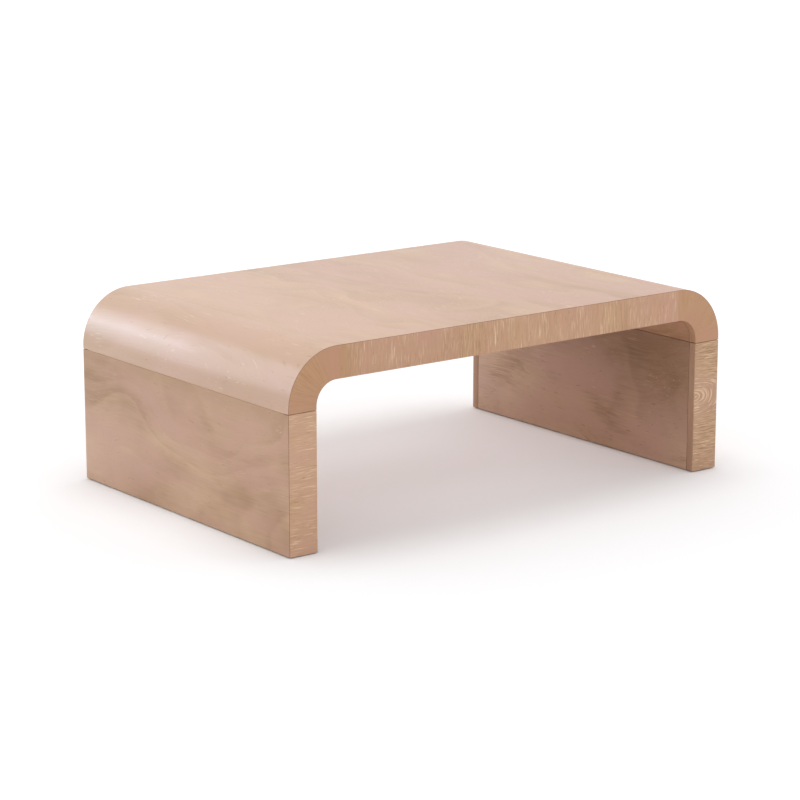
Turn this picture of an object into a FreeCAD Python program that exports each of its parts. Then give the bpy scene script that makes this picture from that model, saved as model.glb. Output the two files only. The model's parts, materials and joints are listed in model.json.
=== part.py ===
import FreeCAD, Part
import enum
import math
import os
import re
import Sketcher

# Waterfall coffee table
# A flat top runs over two rounded bends into two slab legs. Every panel is a hollow core: boards and
# linings on a frame of rails, closed by edge strips and dressed with face veneers and edge facings.
# The legs are separate slabs that bolt up into the bends from below, through holes in their feet,
# so an open seam runs round the top of each leg.
# Frame: millimetres, origin on the floor under the middle, +X along the length, +Y to the rear, +Z up.

SIZES = {
    # Whole table
    "table_length": 1200,
    "table_depth": 800,
    "table_height": 432,
    "panel_thickness": 71,
    "bend_radius": 122,
    "bend_lead": 6.5,
    # Sheets, boards and the lines between them
    "face_veneer": 1,
    "edge_facing": 2,
    "strip_width": 18,
    "board_thickness": 18,
    "lining_thickness": 6,
    "bend_liner": 9,
    "panel_gap": 1,
    "seam_reveal": 1.2,
    "outer_arris": 0.7,
    "inner_arris": 1.6,
    "easing_limit": 0.9,
    # Frame inside the panels
    "end_rail_width": 40,
    "cross_rail_width": 25,
    "cross_rail_count": 3,
    "rib_thickness": 18,
    "rib_count": 4,
    "leg_top_rail_height": 40,
    "foot_rail_height": 40,
    "post_width": 25,
    "rail_end_wall": 4,
    # Dowels
    "dowel_diameter": 10,
    "dowel_length": 40,
    "dowel_chamfer": 1,
    "dowel_clearance": 0.1,
    "dowel_end_room": 1,
    "top_dowel_count": 5,
    "top_dowel_inset": 60,
    "leg_dowel_count": 2,
    "leg_dowel_inset": 220,
    # Leg bolts, their washers and the inserts that they screw into
    "bolt_count": 3,
    "bolt_inset": 60,
    "bolt_diameter": 8,
    "bolt_clearance": 0.5,
    "bolt_head_diameter": 13,
    "bolt_head_height": 8,
    "bolt_socket_width": 6,
    "bolt_socket_depth": 4,
    "thread_engagement": 18,
    "thread_clearance": 0.1,
    "washer_diameter": 16,
    "washer_thickness": 2,
    "insert_diameter": 12,
    "insert_flange_diameter": 15,
    "insert_flange_thickness": 1.5,
    "insert_end_room": 2,
    "insert_clearance": 0.1,
    "driver_hole_diameter": 18,
    # Foot glides, which plug the driver holes
    "glide_diameter": 26,
    "glide_height": 2.5,
    "glide_edge": 0.8,
    "glide_plug_length": 15,
    "glide_plug_chamfer": 1,
    "glide_plug_clearance": 0.1,
}

WORKED_OUT = {
    # Half sizes, and where the bends start and end
    "half_length": "table_length / 2",
    "half_depth": "table_depth / 2",
    "bend_centre_x": "half_length - bend_radius",
    "bend_centre_z": "table_height - bend_radius",
    "top_joint_x": "bend_centre_x - bend_lead",
    "seam_z": "bend_centre_z - bend_lead",
    # Layers from front to back
    "facing_back_y": "half_depth - edge_facing",
    "strip_back_y": "facing_back_y - strip_width",
    "lining_edge_y": "strip_back_y - panel_gap",
    # Layers through the top
    "core_top_z": "table_height - face_veneer",
    "board_under_z": "core_top_z - board_thickness",
    "underside_z": "table_height - panel_thickness",
    "lining_top_z": "underside_z + lining_thickness",
    # Layers through the legs
    "core_outer_x": "half_length - face_veneer",
    "board_back_x": "core_outer_x - board_thickness",
    "leg_inner_x": "half_length - panel_thickness",
    "lining_back_x": "leg_inner_x + lining_thickness",
    "leg_skin_top_z": "seam_z - seam_reveal",
    "leg_rail_under_z": "seam_z - leg_top_rail_height",
    "foot_rail_top_z": "glide_height + foot_rail_height",
    # Layers through the bends
    "skin_back_radius": "bend_radius - face_veneer",
    "liner_back_radius": "skin_back_radius - bend_liner",
    "inner_radius": "bend_radius - panel_thickness",
    "lining_back_radius": "inner_radius + lining_thickness",
    # Rails at both ends of a bend, deep enough for their dowels
    "dowel_depth": "dowel_length / 2 + dowel_end_room",
    "bend_rail_width": "dowel_depth + rail_end_wall",
    "bend_rail_end_x": "top_joint_x + bend_rail_width",
    "bend_rail_end_z": "seam_z + bend_rail_width",
    # Rows of pieces: how far the outermost one stands from the middle
    "cross_rail_pitch": "2 * (top_joint_x - end_rail_width) / (cross_rail_count + 1)",
    "rib_pitch": "2 * strip_back_y / (rib_count + 1)",
    "cross_rail_reach": "cross_rail_pitch * (cross_rail_count - 1) / 2",
    "rib_reach": "rib_pitch * (rib_count - 1) / 2",
    "bolt_reach": "strip_back_y - bolt_inset",
    "post_count": "bolt_count - 1",
    "post_reach": "bolt_reach * (post_count - 1) / post_count",
    "top_dowel_reach": "strip_back_y - top_dowel_inset",
    "leg_dowel_reach": "strip_back_y - leg_dowel_inset",
    # Hardware
    "top_dowel_z": "(lining_top_z + board_under_z) / 2",
    "bolt_axis_x": "(lining_back_x + board_back_x) / 2",
    "bolt_length": "washer_thickness + leg_top_rail_height + thread_engagement",
    "insert_length": "thread_engagement + insert_end_room",
    "dowel_hole_radius": "dowel_diameter / 2 + dowel_clearance",
    # Rounding of the visible edges, held within the sheet that carries it
    "outer_easing": "min(outer_arris; face_veneer * easing_limit)",
    "inner_easing": "min(inner_arris; edge_facing * easing_limit)",
}

SIDES = ("left", "right")
EDGES = ("front", "rear")
HALF_TURN = 180
QUARTER_TURN = 90
FULL_TURN = 360
HEXAGON = 6
TOLERANCE = 0.001
MM3_PER_CM3 = 1000
ALONG_Y = FreeCAD.Vector(0, 1, 0)
ALONG_Z = FreeCAD.Vector(0, 0, 1)


class Spot(enum.IntEnum):
    """The points of a sketch line or arc, as constraints number them."""

    START = enum.auto()
    END = enum.auto()
    CENTRE = enum.auto()


class Axis(enum.IntEnum):
    """The axes of a sketch, as constraints number them."""

    UPRIGHT = -2
    LEVEL = -1


doc = FreeCAD.newDocument("WaterfallTable")
sheet = doc.addObject("Spreadsheet::Sheet", "Sizes")
pieces = []


def fill_sheet():
    """Write the driving sizes as plain numbers, and below them the formulas that follow from them."""
    rows = [(name, str(size)) for name, size in SIZES.items()]
    rows += [(name, f"={formula}") for name, formula in WORKED_OUT.items()]
    for row, (name, content) in enumerate(rows, start=1):
        sheet.set(f"A{row}", name)
        sheet.set(f"B{row}", content)
        sheet.setAlias(f"B{row}", name)
    doc.recompute()


def sized(formula):
    """Point each size that a formula names at its cell in the sheet."""

    def cell(word):
        name = word.group()
        return f"Sizes.{name}" if name in SIZES or name in WORKED_OUT else name

    return re.sub(r"[a-z]\w*", cell, formula)


def value(formula):
    """Work out a formula with the sizes as they stand."""
    return float(sheet.evalExpression(sized(formula)))


def bind(item, target, formula):
    """Tie one property of an object to a formula of sizes."""
    item.setExpression(target, sized(formula))


def put(item, x, y, z):
    """Tie the place of an object to the formulas of its coordinates."""
    for axis, formula in zip("xyz", (x, y, z)):
        bind(item, f"Placement.Base.{axis}", formula)


def both_ways(reach):
    """Give the span that reaches equally far to both sides of the middle."""
    return (f"-({reach})", reach)


def turn_to(item, side):
    """Turn a piece to its side: the left side is the right side turned half round."""
    angle = HALF_TURN if side == "left" else 0
    item.Placement = FreeCAD.Placement(FreeCAD.Vector(), FreeCAD.Rotation(ALONG_Z, angle))


def edge_span(edge, inner, outer, side="right"):
    """Give the span in depth of a piece at the front or rear edge, before it is turned to its side."""
    at_front = (edge == "front") == (side == "right")
    return (f"-({outer})", f"-({inner})") if at_front else (inner, outer)


def origin_item(body, role):
    """Find a plane or an axis of a body's own origin."""
    return next(item for item in body.Origin.OriginFeatures if item.Role == role)


def slab(label, x_span, y_span, z_span, side="right"):
    """Make a plain rectangular piece from the formulas of its six faces."""
    piece = doc.addObject("Part::Box", label)
    turn_to(piece, side)
    sign = "-" if side == "left" else ""
    for size, (low, high) in zip(("Length", "Width", "Height"), (x_span, y_span, z_span)):
        bind(piece, size, f"({high}) - ({low})")
    put(piece, f"{sign}({x_span[0]})", f"{sign}({y_span[0]})", z_span[0])
    pieces.append(piece)


def new_body(label, side="right"):
    """Start a piece that is built up from several features."""
    body = doc.addObject("PartDesign::Body", label)
    body.AllowCompound = True
    turn_to(body, side)
    pieces.append(body)
    return body


def box_feature(body, kind, name, x_span, y_span, z_span):
    """Add a rectangular block to a body, or cut one from it."""
    block = body.newObject(f"PartDesign::{kind}Box", f"{body.Name}_{name}")
    for size, (low, high) in zip(("Length", "Width", "Height"), (x_span, y_span, z_span)):
        bind(block, size, f"({high}) - ({low})")
    put(block, x_span[0], y_span[0], z_span[0])
    return block


def upright_sketch(body):
    """Start a sketch on the body's plane of length and height."""
    sketch = body.newObject("Sketcher::SketchObject", f"{body.Name}_outline")
    sketch.AttachmentSupport = (origin_item(body, "XZ_Plane"), [""])
    sketch.MapMode = "FlatFace"
    return sketch


def tie(sketch, kind, geometry, end, formula):
    """Hold a point of a sketch at a distance from the sketch's origin, or on its axis."""
    if formula == "0":
        axis = Axis.UPRIGHT if kind == "DistanceX" else Axis.LEVEL
        sketch.addConstraint(Sketcher.Constraint("PointOnObject", geometry, end, axis))
        return
    origin = (Axis.LEVEL, Spot.START)
    row = sketch.addConstraint(Sketcher.Constraint(kind, *origin, geometry, end, value(formula)))
    bind(sketch, f"Constraints[{row}]", formula)


def add_line(sketch, start, end, direction):
    """Draw a level or upright line."""
    line = sketch.addGeometry(Part.LineSegment(start, end))
    sketch.addConstraint(Sketcher.Constraint(direction, line))
    return line


def add_quarter(sketch, radius):
    """Draw the quarter circle from the right of the bend's centre to above it."""
    centre = FreeCAD.Vector(value("bend_centre_x"), value("bend_centre_z"), 0)
    circle = Part.Circle(centre, ALONG_Z, value(radius))
    quarter = sketch.addGeometry(Part.ArcOfCircle(circle, 0, math.radians(QUARTER_TURN)))
    row = sketch.addConstraint(Sketcher.Constraint("Radius", quarter, value(radius)))
    bind(sketch, f"Constraints[{row}]", radius)
    return quarter


def draw_bend(sketch, outer, inner):
    """Outline a bend between two radii, with its straight leads to the top and to the leg."""
    joint, seam = value("top_joint_x"), value("seam_z")
    centre_x, centre_z = value("bend_centre_x"), value("bend_centre_z")
    ends = []
    for radius in (outer, inner):
        level_z = centre_z + value(radius)
        upright_x = centre_x + value(radius)
        quarter = add_quarter(sketch, radius)
        top_lead = add_line(
            sketch,
            FreeCAD.Vector(joint, level_z, 0),
            FreeCAD.Vector(centre_x, level_z, 0),
            "Horizontal",
        )
        leg_lead = add_line(
            sketch,
            FreeCAD.Vector(upright_x, centre_z, 0),
            FreeCAD.Vector(upright_x, seam, 0),
            "Vertical",
        )
        sketch.addConstraint(Sketcher.Constraint("Tangent", top_lead, Spot.END, quarter, Spot.END))
        sketch.addConstraint(Sketcher.Constraint("Tangent", leg_lead, Spot.START, quarter, Spot.START))
        ends.append((quarter, top_lead, leg_lead))
    (outer_quarter, outer_top, outer_leg), (inner_quarter, inner_top, inner_leg) = ends
    top_end = add_line(
        sketch,
        FreeCAD.Vector(joint, centre_z + value(inner), 0),
        FreeCAD.Vector(joint, centre_z + value(outer), 0),
        "Vertical",
    )
    leg_end = add_line(
        sketch,
        FreeCAD.Vector(centre_x + value(outer), seam, 0),
        FreeCAD.Vector(centre_x + value(inner), seam, 0),
        "Horizontal",
    )
    meetings = (
        (top_end, Spot.START, inner_top, Spot.START),
        (top_end, Spot.END, outer_top, Spot.START),
        (leg_end, Spot.START, outer_leg, Spot.END),
        (leg_end, Spot.END, inner_leg, Spot.END),
        (inner_quarter, Spot.CENTRE, outer_quarter, Spot.CENTRE),
    )
    for meeting in meetings:
        sketch.addConstraint(Sketcher.Constraint("Coincident", *meeting))
    tie(sketch, "DistanceX", outer_quarter, Spot.CENTRE, "bend_centre_x")
    tie(sketch, "DistanceY", outer_quarter, Spot.CENTRE, "bend_centre_z")
    tie(sketch, "DistanceX", top_end, Spot.START, "top_joint_x")
    tie(sketch, "DistanceY", leg_end, Spot.START, "seam_z")


def bend_body(label, side, outer, inner, y_span):
    """Start a piece that follows the bend between two radii, over a span of the depth."""
    body = new_body(label, side)
    sketch = upright_sketch(body)
    draw_bend(sketch, outer, inner)
    low, high = y_span
    bind(sketch, "AttachmentOffset.Base.z", f"-({high})")
    pad = body.newObject("PartDesign::Pad", f"{label}_pad")
    pad.Profile = sketch
    bind(pad, "Length", f"({high}) - ({low})")
    return body, pad


def turned_body(label, points):
    """Start a piece turned about its own axis from the formulas of its radii and heights."""
    body = new_body(label)
    sketch = upright_sketch(body)
    spots = [FreeCAD.Vector(value(radius), value(height), 0) for radius, height in points]
    for start, end in zip(spots, spots[1:] + spots[:1]):
        sketch.addGeometry(Part.LineSegment(start, end))
    for line, (radius, height) in enumerate(points):
        before = (line - 1) % len(points)
        sketch.addConstraint(Sketcher.Constraint("Coincident", before, Spot.END, line, Spot.START))
        tie(sketch, "DistanceX", line, Spot.START, radius)
        tie(sketch, "DistanceY", line, Spot.START, height)
    turning = body.newObject("PartDesign::Revolution", f"{label}_turning")
    turning.Profile = sketch
    turning.ReferenceAxis = (sketch, ["V_Axis"])
    turning.Angle = FULL_TURN
    return body


def repeat(body, first_row, second_row=None, only=None):
    """Copy a body's whole shape, or one of its cuts, along one row or two."""
    doc.recompute()
    tool = only.Name if only else body.Name
    pattern = body.newObject("PartDesign::LinearPattern", f"{tool}_row")
    if only:
        pattern.Originals = [only]
    else:
        pattern.TransformMode = "Whole shape"
    for suffix, row in (("", first_row), ("2", second_row)):
        if row:
            role, reach, count = row
            setattr(pattern, f"Direction{suffix}", (origin_item(body, role), [""]))
            bind(pattern, f"Length{suffix}", f"2 * ({reach})")
            bind(pattern, f"Occurrences{suffix}", count)
    body.Tip = pattern


def drill(body, name, radius, depth, place, reach, count, along_length=False):
    """Drill a row of holes from front to back, upwards or along the table's length from a place."""
    doc.recompute()
    before = body.Shape.Volume
    hole = body.newObject("PartDesign::SubtractiveCylinder", f"{body.Name}_{name}")
    angle = QUARTER_TURN if along_length else 0
    hole.Placement = FreeCAD.Placement(FreeCAD.Vector(), FreeCAD.Rotation(ALONG_Y, angle))
    bind(hole, "Radius", radius)
    bind(hole, "Height", depth)
    x, z = place
    put(hole, x, f"-({reach})", z)
    repeat(body, ("Y_Axis", reach, count), only=hole)
    doc.recompute()
    if before - body.Shape.Volume < TOLERANCE:
        raise RuntimeError(f"{body.Label}: {name} cuts nothing")


def depth_below_skin(point):
    """Measure how deep a point lies under the table's outer surface, round the bend."""
    radius = value("bend_radius")
    along = abs(point.x) - value("bend_centre_x")
    up = point.z - value("bend_centre_z")
    if along <= 0:
        return radius - up
    if up <= 0:
        return radius - along
    return radius - math.hypot(along, up)


def ease(body, feature, depth, radius):
    """Round the long edges of a sheet that lie on the front or rear face at a depth below the skin."""
    doc.recompute()
    wall = value("half_depth")
    names = []
    for number, edge in enumerate(feature.Shape.Edges, start=1):
        middle = edge.valueAt((edge.FirstParameter + edge.LastParameter) / 2)
        on_wall = all(abs(abs(vertex.Y) - wall) < TOLERANCE for vertex in edge.Vertexes)
        if on_wall and abs(depth_below_skin(middle) - value(depth)) < TOLERANCE:
            names.append(f"Edge{number}")
    rounding = body.newObject("PartDesign::Fillet", f"{body.Name}_easing")
    rounding.Base = (feature, names)
    bind(rounding, "Radius", radius)


def eased_sheet(label, x_span, y_span, z_span, depth, radius, side="right"):
    """Make a flat sheet whose long edges at one depth below the skin are rounded."""
    body = new_body(label, side)
    sheet_block = box_feature(body, "Additive", "blank", x_span, y_span, z_span)
    ease(body, sheet_block, depth, radius)


def build_top():
    """Build the flat top: board and lining on a frame, with strips, facings and veneer."""
    length = both_ways("top_joint_x")
    core_depth = both_ways("strip_back_y")
    core_height = ("lining_top_z", "board_under_z")
    edge_height = ("underside_z", "core_top_z")
    whole_depth = both_ways("half_depth")
    veneer_height = ("core_top_z", "table_height")
    eased_sheet("top_face_veneer", length, whole_depth, veneer_height, "0", "outer_easing")
    slab("top_board", length, core_depth, ("board_under_z", "core_top_z"))
    slab("underside_panel", length, both_ways("lining_edge_y"), ("underside_z", "lining_top_z"))
    for edge in EDGES:
        strip_depth = edge_span(edge, "strip_back_y", "facing_back_y")
        facing_depth = edge_span(edge, "facing_back_y", "half_depth")
        slab(f"top_{edge}_strip", length, strip_depth, edge_height)
        eased_sheet(
            f"top_{edge}_edge_facing", length, facing_depth, edge_height, "panel_thickness", "inner_easing"
        )
    for side in SIDES:
        end_rail = new_body(f"top_{side}_end_rail", side)
        rail_length = ("top_joint_x - end_rail_width", "top_joint_x")
        box_feature(end_rail, "Additive", "blank", rail_length, core_depth, core_height)
        hole_place = ("top_joint_x - dowel_depth", "top_dowel_z")
        dowel_row = ("top_dowel_reach", "top_dowel_count")
        hole_size = ("dowel_hole_radius", "dowel_depth")
        drill(end_rail, "dowel_hole", *hole_size, hole_place, *dowel_row, along_length=True)
    rails = new_body("top_cross_rails")
    first_rail = ("-cross_rail_reach - cross_rail_width / 2", "-cross_rail_reach + cross_rail_width / 2")
    box_feature(rails, "Additive", "blank", first_rail, core_depth, core_height)
    repeat(rails, ("X_Axis", "cross_rail_reach", "cross_rail_count"))


def build_bend(side):
    """Build one bend: two liners on ribs and rails, with cheeks, facings and veneer."""
    name = f"{side}_bend"
    core_depth = both_ways("strip_back_y")
    core_radii = ("liner_back_radius", "lining_back_radius")
    edge_radii = ("skin_back_radius", "inner_radius")
    veneer_radii = ("bend_radius", "skin_back_radius")
    veneer, pad = bend_body(f"{name}_face_veneer", side, *veneer_radii, both_ways("half_depth"))
    ease(veneer, pad, "0", "outer_easing")
    bend_body(f"{name}_outer_liner", side, "skin_back_radius", "liner_back_radius", core_depth)
    bend_body(f"{name}_inner_liner", side, "lining_back_radius", "inner_radius", both_ways("lining_edge_y"))
    for edge in EDGES:
        cheek_depth = edge_span(edge, "strip_back_y", "facing_back_y", side)
        facing_depth = edge_span(edge, "facing_back_y", "half_depth", side)
        bend_body(f"{name}_{edge}_cheek", side, *edge_radii, cheek_depth)
        facing, pad = bend_body(f"{name}_{edge}_edge_facing", side, *edge_radii, facing_depth)
        ease(facing, pad, "panel_thickness", "inner_easing")

    whole_length = ("top_joint_x", "half_length")
    whole_height = ("seam_z", "table_height")
    rib_depth = ("-rib_reach - rib_thickness / 2", "-rib_reach + rib_thickness / 2")
    ribs, _ = bend_body(f"{name}_ribs", side, *core_radii, rib_depth)
    at_top_rail = ("top_joint_x", "bend_rail_end_x")
    at_seam_rail = ("seam_z", "bend_rail_end_z")
    box_feature(ribs, "Subtractive", "top_rail_room", at_top_rail, rib_depth, whole_height)
    box_feature(ribs, "Subtractive", "seam_rail_room", whole_length, rib_depth, at_seam_rail)
    repeat(ribs, ("Y_Axis", "rib_reach", "rib_count"))

    past_top_rail = ("bend_rail_end_x", "half_length")
    top_rail, _ = bend_body(f"{name}_top_rail", side, *core_radii, core_depth)
    box_feature(top_rail, "Subtractive", "trim", past_top_rail, core_depth, whole_height)
    dowel_place = ("top_joint_x", "top_dowel_z")
    dowel_row = ("top_dowel_reach", "top_dowel_count")
    hole_size = ("dowel_hole_radius", "dowel_depth")
    drill(top_rail, "dowel_hole", *hole_size, dowel_place, *dowel_row, along_length=True)

    past_seam_rail = ("bend_rail_end_z", "table_height")
    seam_rail, _ = bend_body(f"{name}_seam_rail", side, *core_radii, core_depth)
    box_feature(seam_rail, "Subtractive", "trim", whole_length, core_depth, past_seam_rail)
    hole_place = ("bolt_axis_x", "seam_z")
    bolt_row = ("bolt_reach", "bolt_count")
    insert_radius = "insert_diameter / 2 + insert_clearance"
    flange_radius = "insert_flange_diameter / 2 + insert_clearance"
    drill(seam_rail, "insert_hole", insert_radius, "insert_length", hole_place, *bolt_row)
    drill(seam_rail, "flange_seat", flange_radius, "insert_flange_thickness", hole_place, *bolt_row)
    dowel_row = ("leg_dowel_reach", "leg_dowel_count")
    drill(seam_rail, "dowel_hole", *hole_size, hole_place, *dowel_row)


def build_leg(side):
    """Build one leg: board and inset panel on a frame, with strips, facings and veneer."""
    name = f"{side}_leg"
    core_depth = both_ways("strip_back_y")
    core_width = ("lining_back_x", "board_back_x")
    edge_width = ("leg_inner_x", "core_outer_x")
    skin_height = ("glide_height", "leg_skin_top_z")
    veneer_width = ("core_outer_x", "half_length")
    lining_width = ("leg_inner_x", "lining_back_x")
    board_width = ("board_back_x", "core_outer_x")
    whole_depth = both_ways("half_depth")
    eased_sheet(f"{name}_face_veneer", veneer_width, whole_depth, skin_height, "0", "outer_easing", side)
    slab(f"{name}_board", board_width, core_depth, ("glide_height", "seam_z"), side)
    slab(f"{name}_inner_panel", lining_width, both_ways("lining_edge_y"), skin_height, side)
    for edge in EDGES:
        strip_depth = edge_span(edge, "strip_back_y", "facing_back_y", side)
        facing_depth = edge_span(edge, "facing_back_y", "half_depth", side)
        slab(f"{name}_{edge}_strip", edge_width, strip_depth, skin_height, side)
        facing_spans = (edge_width, facing_depth, skin_height)
        eased_sheet(f"{name}_{edge}_edge_facing", *facing_spans, "panel_thickness", "inner_easing", side)

    bolt_row = ("bolt_reach", "bolt_count")
    dowel_row = ("leg_dowel_reach", "leg_dowel_count")
    top_rail = new_body(f"{name}_top_rail", side)
    box_feature(top_rail, "Additive", "blank", core_width, core_depth, ("leg_rail_under_z", "seam_z"))
    bolt_place = ("bolt_axis_x", "leg_rail_under_z")
    bolt_radius = "bolt_diameter / 2 + bolt_clearance"
    drill(top_rail, "bolt_hole", bolt_radius, "leg_top_rail_height", bolt_place, *bolt_row)
    dowel_place = ("bolt_axis_x", "seam_z - dowel_depth")
    drill(top_rail, "dowel_hole", "dowel_hole_radius", "dowel_depth", dowel_place, *dowel_row)

    foot_rail = new_body(f"{name}_foot_rail", side)
    box_feature(foot_rail, "Additive", "blank", core_width, core_depth, ("glide_height", "foot_rail_top_z"))
    driver_place = ("bolt_axis_x", "glide_height")
    drill(foot_rail, "driver_hole", "driver_hole_diameter / 2", "foot_rail_height", driver_place, *bolt_row)

    posts = new_body(f"{name}_posts", side)
    first_post = ("-post_reach - post_width / 2", "-post_reach + post_width / 2")
    box_feature(posts, "Additive", "blank", core_width, first_post, ("foot_rail_top_z", "leg_rail_under_z"))
    repeat(posts, ("Y_Axis", "post_reach", "post_count"))


def set_in_rows(body, axis_x, reach, count, height):
    """Stand a piece at the front of the left leg and repeat it to the rear and on the right leg."""
    put(body, f"-({axis_x})", f"-({reach})", height)
    repeat(body, ("Y_Axis", reach, count), ("X_Axis", axis_x, str(len(SIDES))))


def dowel_body(label):
    """Start a dowel with chamfered ends, from the middle of its length."""
    radius = "dowel_diameter / 2"
    half = "dowel_length / 2"
    points = [
        ("0", f"-{half}"),
        (f"{radius} - dowel_chamfer", f"-{half}"),
        (radius, f"-{half} + dowel_chamfer"),
        (radius, f"{half} - dowel_chamfer"),
        (f"{radius} - dowel_chamfer", half),
        ("0", half),
    ]
    return turned_body(label, points)


def build_hardware():
    """Build the bolts, washers, inserts, dowels and glides, each kind as one group."""
    bolt_row = ("bolt_axis_x", "bolt_reach", "bolt_count")
    head_seat = "leg_rail_under_z - washer_thickness"
    bolt_points = [
        ("0", "-bolt_head_height"),
        ("bolt_head_diameter / 2", "-bolt_head_height"),
        ("bolt_head_diameter / 2", "0"),
        ("bolt_diameter / 2", "0"),
        ("bolt_diameter / 2", "bolt_length"),
        ("0", "bolt_length"),
    ]
    bolts = turned_body("leg_bolts", bolt_points)
    socket = bolts.newObject("PartDesign::SubtractivePrism", "leg_bolts_socket")
    socket.Polygon = HEXAGON
    bind(socket, "Circumradius", "bolt_socket_width / sqrt(3)")
    bind(socket, "Height", "bolt_socket_depth")
    put(socket, "0", "0", "-bolt_head_height")
    set_in_rows(bolts, *bolt_row, head_seat)

    washer_bore = "bolt_diameter / 2 + bolt_clearance"
    washer_points = [
        (washer_bore, "0"),
        ("washer_diameter / 2", "0"),
        ("washer_diameter / 2", "washer_thickness"),
        (washer_bore, "washer_thickness"),
    ]
    set_in_rows(turned_body("leg_bolt_washers", washer_points), *bolt_row, head_seat)

    thread_bore = "bolt_diameter / 2 + thread_clearance"
    insert_points = [
        (thread_bore, "0"),
        ("insert_flange_diameter / 2", "0"),
        ("insert_flange_diameter / 2", "insert_flange_thickness"),
        ("insert_diameter / 2", "insert_flange_thickness"),
        ("insert_diameter / 2", "insert_length"),
        (thread_bore, "insert_length"),
    ]
    set_in_rows(turned_body("threaded_inserts", insert_points), *bolt_row, "seam_z")

    leg_dowels = dowel_body("leg_dowels")
    set_in_rows(leg_dowels, "bolt_axis_x", "leg_dowel_reach", "leg_dowel_count", "seam_z")

    top_dowels = dowel_body("top_joint_dowels")
    lying = FreeCAD.Rotation(ALONG_Y, QUARTER_TURN)
    top_dowels.Placement = FreeCAD.Placement(FreeCAD.Vector(), lying)
    put(top_dowels, "-top_joint_x", "-top_dowel_reach", "top_dowel_z")
    dowel_row = ("Y_Axis", "top_dowel_reach", "top_dowel_count")
    repeat(top_dowels, dowel_row, ("Z_Axis", "top_joint_x", str(len(SIDES))))

    plug_radius = "driver_hole_diameter / 2 - glide_plug_clearance"
    plug_top = "glide_height + glide_plug_length"
    glide_points = [
        ("0", "0"),
        ("glide_diameter / 2 - glide_edge", "0"),
        ("glide_diameter / 2", "glide_edge"),
        ("glide_diameter / 2", "glide_height"),
        (plug_radius, "glide_height"),
        (plug_radius, f"{plug_top} - glide_plug_chamfer"),
        (f"{plug_radius} - glide_plug_chamfer", plug_top),
        ("0", plug_top),
    ]
    set_in_rows(turned_body("foot_glides", glide_points), *bolt_row, "0")


def check_document():
    """Stop if any object failed, any outline is loose or any piece is not a valid shape."""
    doc.recompute()
    for item in doc.Objects:
        if "Invalid" in item.State or "Error" in item.State:
            raise RuntimeError(f"{item.Label} failed: {item.getStatusString()}")
        if item.isDerivedFrom("Sketcher::SketchObject") and not item.FullyConstrained:
            raise RuntimeError(f"{item.Label} is not fully constrained")
    for piece in pieces:
        if piece.Shape.isNull() or not piece.Shape.isValid() or not piece.Shape.Solids:
            raise RuntimeError(f"{piece.Label} is not a valid solid")


def write_pieces():
    """Write each piece to its own file."""
    os.makedirs("parts", exist_ok=True)
    for piece in pieces:
        piece.Shape.exportStep(f"parts/{piece.Label}.step")
        print(f"{piece.Label}: {len(piece.Shape.Solids)} solid, {piece.Shape.Volume / MM3_PER_CM3:.1f} cm3")


fill_sheet()
build_top()
for table_side in SIDES:
    build_bend(table_side)
    build_leg(table_side)
build_hardware()
check_document()
write_pieces()
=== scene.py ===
"""Looks of a waterfall coffee table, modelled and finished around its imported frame.

The table is dressed in its own frame, in metres: the origin is on the floor under the middle, +X runs along
the length, +Y to the rear and +Z up. Every skin that can be seen is modelled anew with eased edges, and the
frame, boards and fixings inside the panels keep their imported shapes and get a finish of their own.
"""

import json
import logging
import math
from contextlib import contextmanager
from dataclasses import dataclass, fields, replace
from enum import Enum
from typing import Callable, Iterator, Union

import bmesh
import bpy
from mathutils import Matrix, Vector


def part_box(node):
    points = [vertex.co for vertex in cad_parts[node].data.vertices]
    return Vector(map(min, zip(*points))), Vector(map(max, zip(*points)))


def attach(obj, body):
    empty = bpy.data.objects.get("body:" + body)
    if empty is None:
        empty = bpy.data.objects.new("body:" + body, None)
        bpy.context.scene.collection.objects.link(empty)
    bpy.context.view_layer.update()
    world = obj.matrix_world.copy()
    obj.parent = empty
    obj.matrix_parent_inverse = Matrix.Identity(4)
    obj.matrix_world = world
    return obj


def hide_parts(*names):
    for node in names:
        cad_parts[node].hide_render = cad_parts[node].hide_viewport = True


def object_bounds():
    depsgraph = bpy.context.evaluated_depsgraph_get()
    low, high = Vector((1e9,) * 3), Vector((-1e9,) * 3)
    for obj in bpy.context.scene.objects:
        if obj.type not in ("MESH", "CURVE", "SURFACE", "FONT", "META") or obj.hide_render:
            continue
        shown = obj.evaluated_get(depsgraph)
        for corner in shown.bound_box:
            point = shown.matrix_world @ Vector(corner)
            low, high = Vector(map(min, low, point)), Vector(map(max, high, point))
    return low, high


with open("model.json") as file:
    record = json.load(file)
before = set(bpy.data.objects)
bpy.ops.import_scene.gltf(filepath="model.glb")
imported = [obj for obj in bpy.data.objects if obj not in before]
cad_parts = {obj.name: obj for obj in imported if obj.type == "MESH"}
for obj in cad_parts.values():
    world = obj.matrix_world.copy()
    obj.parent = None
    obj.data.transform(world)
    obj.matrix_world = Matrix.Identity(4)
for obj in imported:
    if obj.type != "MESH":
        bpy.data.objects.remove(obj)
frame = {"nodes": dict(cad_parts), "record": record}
CAD_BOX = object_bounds()

LOG = logging.getLogger("waterfall_table")
BODY = "root"
SLOTS = {row["node"]: row["material_slot"] for row in frame["record"]["subparts"]}

# Sizes in metres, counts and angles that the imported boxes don't give by themselves
BEND_LEAD = 0.0065
OUTER_ARRIS = 0.0007
INNER_ARRIS = 0.0016
SEAM_EASING = 0.00045
PANEL_EASING = 0.0009
ARRIS_SEGMENTS = 4
EASING_SEGMENTS = 2
ROUND_PROFILE = 0.5
BEND_STEPS = 60
SMOOTH_ANGLE = math.radians(32)
QUARTER_TURN = math.radians(90)
CUT_EDGE_TURN = math.cos(math.radians(60))
TOUCHING = 0.00002

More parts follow.
